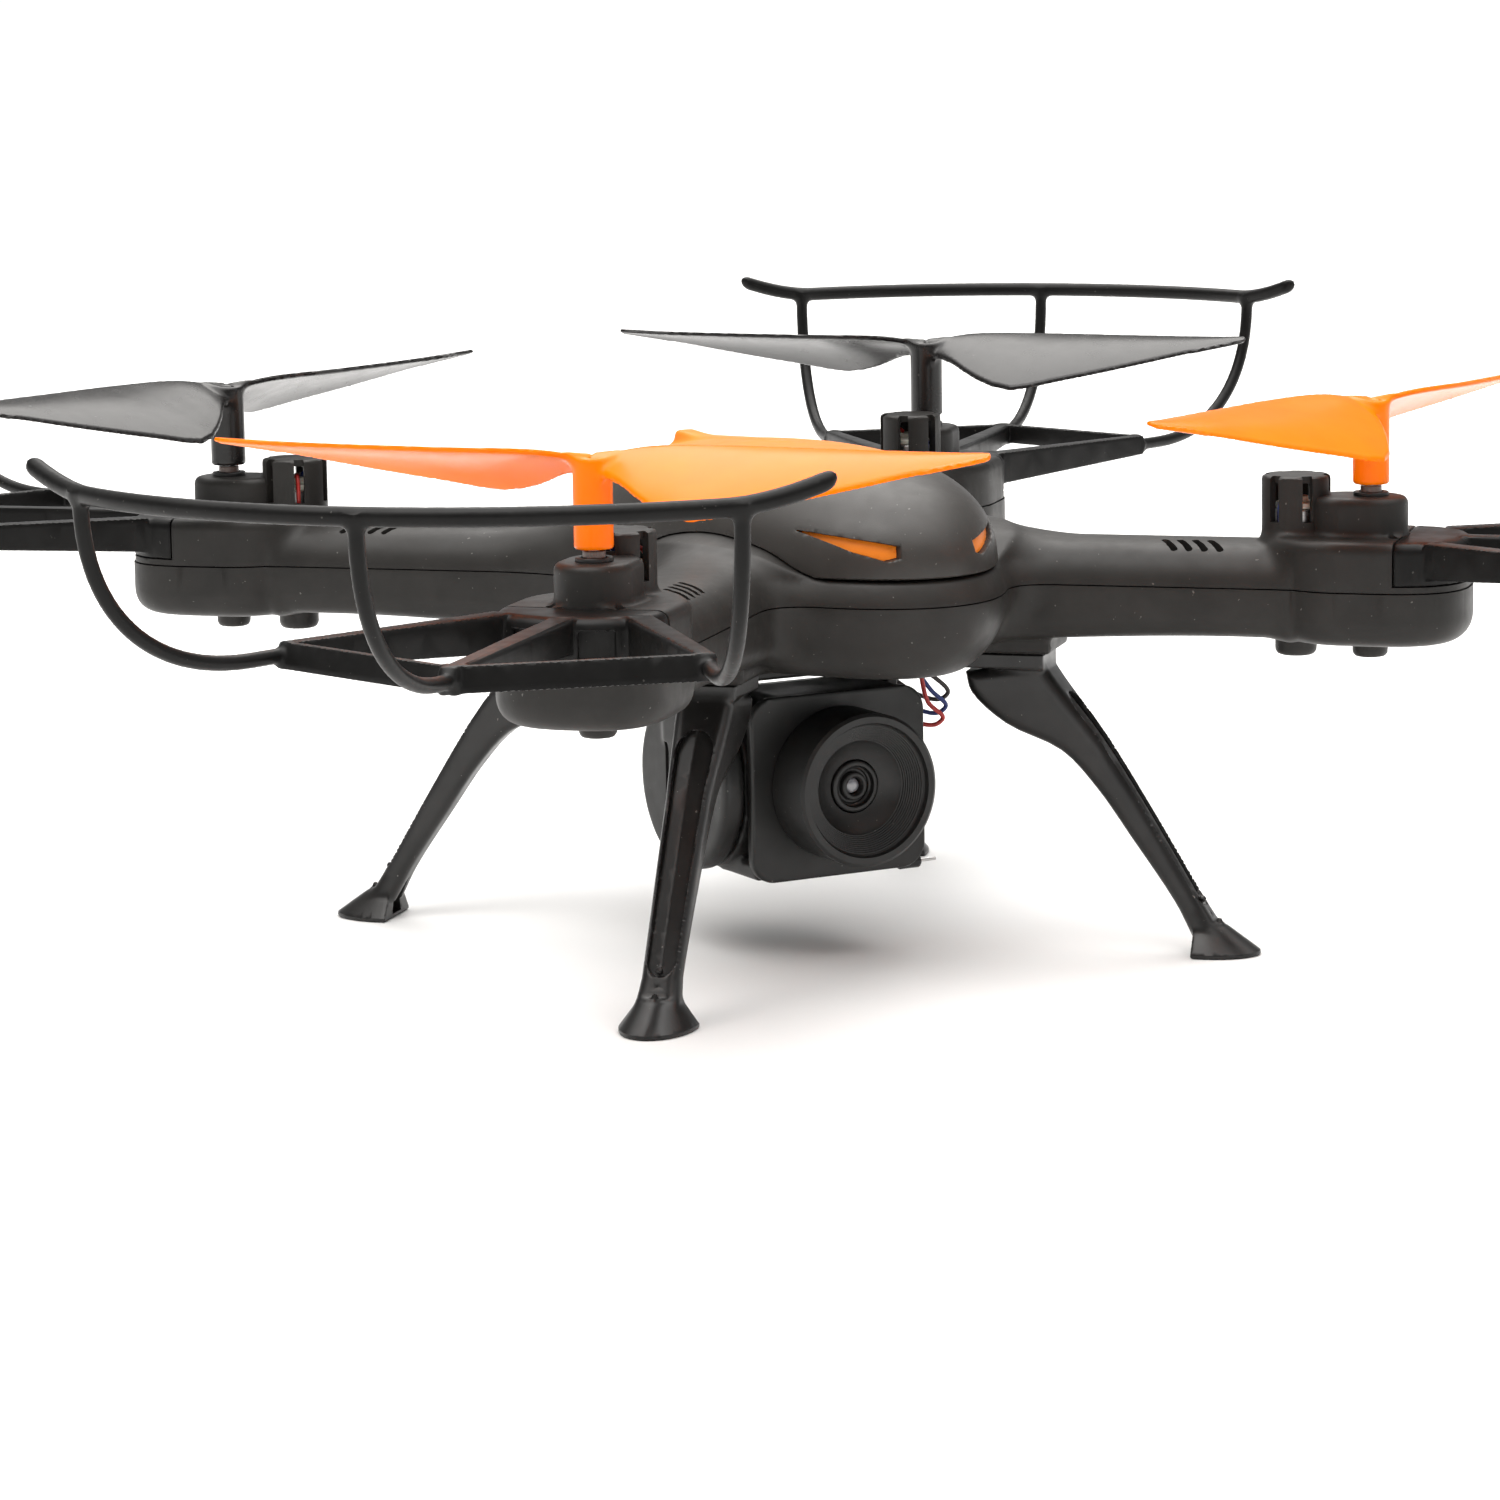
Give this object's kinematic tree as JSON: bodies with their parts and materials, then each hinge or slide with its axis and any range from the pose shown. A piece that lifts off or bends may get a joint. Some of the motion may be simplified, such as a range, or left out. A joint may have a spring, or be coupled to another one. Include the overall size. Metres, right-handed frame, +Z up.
{
  "type": "toy camera quadcopter",
  "caption": "Toy camera quadcopter with geared rotors, quarter-ring blade guards, curved landing legs and a tilting belly camera.",
  "frame": {"origin": "on the ground plane, midway between the four feet", "axes": "+Z up, the nose and the lens point to -Y, +X is the aircraft's left as it flies, which is the right-hand side seen from the front"},
  "size_m": [0.3726, 0.3726, 0.1146],
  "materials": {
    "shell": "matt moulded ABS, warm dark grey",
    "canopy": "fine-textured matt moulded ABS",
    "orange": "glossy flexible moulded plastic, saturated orange",
    "amber": "satin orange-amber moulded plastic",
    "gloss_black": "glossy flexible moulded plastic",
    "guard": "satin moulded nylon",
    "leg": "satin moulded nylon",
    "camera": "satin moulded ABS",
    "glass": "polished lens with a pale coating",
    "steel": "ground steel",
    "brass": "machined brass",
    "nylon": "natural nylon",
    "board": "green solder mask",
    "cell": "foil-wrapped cell under shrink film",
    "wire_red": "soft vinyl insulation",
    "wire_blue": "soft vinyl insulation",
    "wire_black": "soft vinyl insulation"
  },
  "bodies": {
    "airframe": {"upper_shell": "shell", "lower_shell": "shell", "canopy": "canopy", "canopy_insert": "amber", "circuit_board": "board", "battery": "cell", "camera_bracket": "camera", "camera_pivot_left": "steel", "camera_pivot_right": "steel", "camera_wire_red": "wire_red", "camera_wire_blue": "wire_blue", "camera_wire_black": "wire_black", "shaft_bushing_front_left": "nylon", "shaft_collar_front_left": "gloss_black", "motor_front_left": "steel", "guard_front_left": "guard", "landing_leg_front_left": "leg", "shaft_bushing_front_right": "nylon", "shaft_collar_front_right": "gloss_black", "motor_front_right": "steel", "guard_front_right": "guard", "landing_leg_front_right": "leg", "shaft_bushing_rear_left": "nylon", "shaft_collar_rear_left": "gloss_black", "motor_rear_left": "steel", "guard_rear_left": "guard", "landing_leg_rear_left": "leg", "shaft_bushing_rear_right": "nylon", "shaft_collar_rear_right": "gloss_black", "motor_rear_right": "steel", "guard_rear_right": "guard", "landing_leg_rear_right": "leg"},
    "rotor_front_left": {"propeller_front_left": "orange", "prop_shaft_front_left": "steel", "main_gear_front_left": "nylon"},
    "rotor_front_right": {"propeller_front_right": "orange", "prop_shaft_front_right": "steel", "main_gear_front_right": "nylon"},
    "rotor_rear_left": {"propeller_rear_left": "gloss_black", "prop_shaft_rear_left": "steel", "main_gear_rear_left": "nylon"},
    "rotor_rear_right": {"propeller_rear_right": "gloss_black", "prop_shaft_rear_right": "steel", "main_gear_rear_right": "nylon"},
    "motor_pinion_front_left": {"pinion_front_left": "brass"},
    "motor_pinion_front_right": {"pinion_front_right": "brass"},
    "motor_pinion_rear_left": {"pinion_rear_left": "brass"},
    "motor_pinion_rear_right": {"pinion_rear_right": "brass"},
    "camera_head": {"camera_housing": "camera", "camera_plate": "camera", "lens_barrel": "camera", "lens_cell": "camera", "lens_glass": "glass", "camera_pin": "steel"},
    "hatch": {"battery_hatch": "shell"},
    "switch_slider": {"power_switch": "gloss_black"}
  },
  "joints": [
    {"name": "prop_spin_front_left", "type": "hinge", "parent": "airframe", "child": "rotor_front_left", "pos_m": [-0.081, -0.081, 0.09], "axis": [0, 0, 1], "continuous": true},
    {"name": "prop_spin_front_right", "type": "hinge", "parent": "airframe", "child": "rotor_front_right", "pos_m": [0.081, -0.081, 0.09], "axis": [0, 0, 1], "continuous": true},
    {"name": "prop_spin_rear_left", "type": "hinge", "parent": "airframe", "child": "rotor_rear_left", "pos_m": [-0.081, 0.081, 0.09], "axis": [0, 0, 1], "continuous": true},
    {"name": "prop_spin_rear_right", "type": "hinge", "parent": "airframe", "child": "rotor_rear_right", "pos_m": [0.081, 0.081, 0.09], "axis": [0, 0, 1], "continuous": true},
    {"name": "pinion_spin_front_left", "type": "hinge", "parent": "airframe", "child": "motor_pinion_front_left", "pos_m": [-0.0711, -0.0711, 0.067], "axis": [0, 0, 1], "continuous": true},
    {"name": "pinion_spin_front_right", "type": "hinge", "parent": "airframe", "child": "motor_pinion_front_right", "pos_m": [0.0711, -0.0711, 0.067], "axis": [0, 0, 1], "continuous": true},
    {"name": "pinion_spin_rear_left", "type": "hinge", "parent": "airframe", "child": "motor_pinion_rear_left", "pos_m": [-0.0711, 0.0711, 0.067], "axis": [0, 0, 1], "continuous": true},
    {"name": "pinion_spin_rear_right", "type": "hinge", "parent": "airframe", "child": "motor_pinion_rear_right", "pos_m": [0.0711, 0.0711, 0.067], "axis": [0, 0, 1], "continuous": true},
    {"name": "camera_tilt", "type": "hinge", "parent": "airframe", "child": "camera_head", "pos_m": [0, -0.003, 0.0335], "axis": [1, 0, 0], "range_deg": [-5, 60]},
    {"name": "hatch_swing", "type": "hinge", "parent": "airframe", "child": "hatch", "pos_m": [0, 0.045, 0.057], "axis": [1, 0, 0], "range_deg": [0, 95]},
    {"name": "power_slide", "type": "slide", "parent": "airframe", "child": "switch_slider", "axis": [0, 1, 0], "range_m": [0, 0.003]}
  ],
  "couplings": [
    {"joint": "pinion_spin_front_left", "follows": "prop_spin_front_left", "ratio": -6},
    {"joint": "pinion_spin_front_right", "follows": "prop_spin_front_right", "ratio": -6},
    {"joint": "pinion_spin_rear_left", "follows": "prop_spin_rear_left", "ratio": -6},
    {"joint": "pinion_spin_rear_right", "follows": "prop_spin_rear_right", "ratio": -6}
  ]
}
